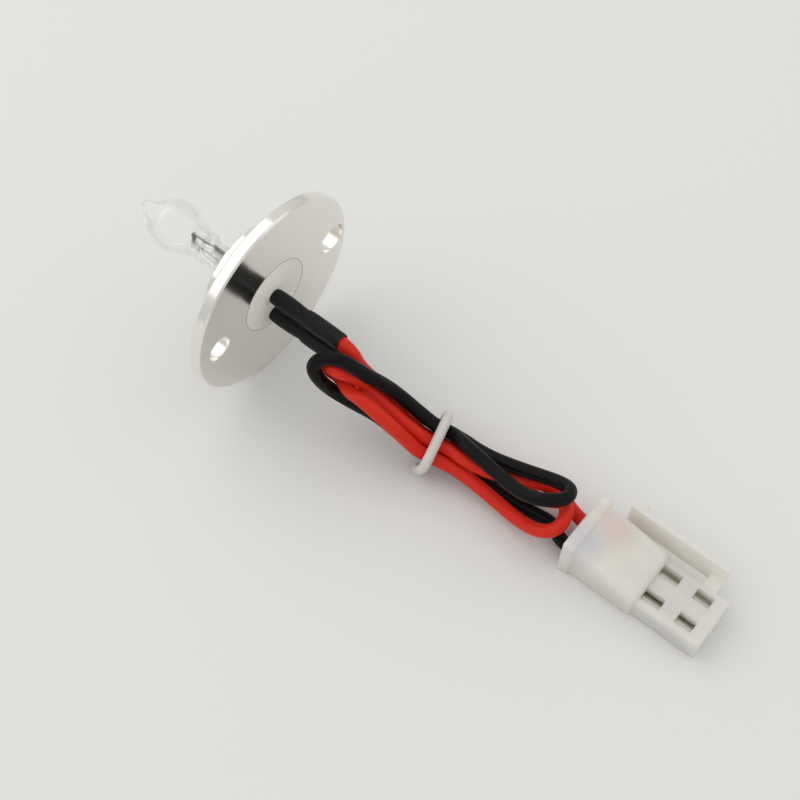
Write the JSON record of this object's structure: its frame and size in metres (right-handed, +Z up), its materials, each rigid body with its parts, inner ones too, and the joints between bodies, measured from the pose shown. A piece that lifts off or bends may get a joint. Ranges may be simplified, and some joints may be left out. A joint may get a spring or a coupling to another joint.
{
  "type": "analyzer halogen lamp",
  "caption": "Low-voltage halogen lamp on a round aluminium flange with a raised boss, fixing holes, folded red and black leads held by a tie, and a two-way nylon connector.",
  "frame": {"origin": "centre of the flange's seat, the plane that the boss stands on", "axes": "+X along the lamp's axis towards the leads, so the bulb points to -X; +Z up, with the flange standing on its rim"},
  "size_m": [0.1139, 0.036, 0.036],
  "materials": {
    "machined_aluminium": "fine turned",
    "ceramic": "matt",
    "cement": "matt",
    "quartz": "clear",
    "tungsten": "drawn",
    "molybdenum": "drawn",
    "tinned_brass": "tinned",
    "black_sleeve": "satin",
    "red_insulation": "satin",
    "black_insulation": "satin",
    "white_tie": "satin",
    "natural_nylon": "translucent"
  },
  "bodies": {
    "root": {"lamp_flange": "machined_aluminium", "ceramic_holder": "ceramic", "holder_cement": "cement", "bulb_envelope": "quartz", "filament": "tungsten", "upper_support": "tungsten", "lower_support": "tungsten", "upper_foil": "molybdenum", "lower_foil": "molybdenum", "upper_pin": "molybdenum", "lower_pin": "molybdenum", "upper_ferrule": "tinned_brass", "lower_ferrule": "tinned_brass", "upper_inner_sleeve": "black_sleeve", "lower_inner_sleeve": "black_sleeve", "upper_outer_sleeve": "black_sleeve", "lower_outer_sleeve": "black_sleeve", "red_lead": "red_insulation", "black_lead": "black_insulation", "twist_tie": "white_tie", "connector_housing": "natural_nylon", "red_terminal": "tinned_brass", "black_terminal": "tinned_brass"}
  },
  "joints": []
}
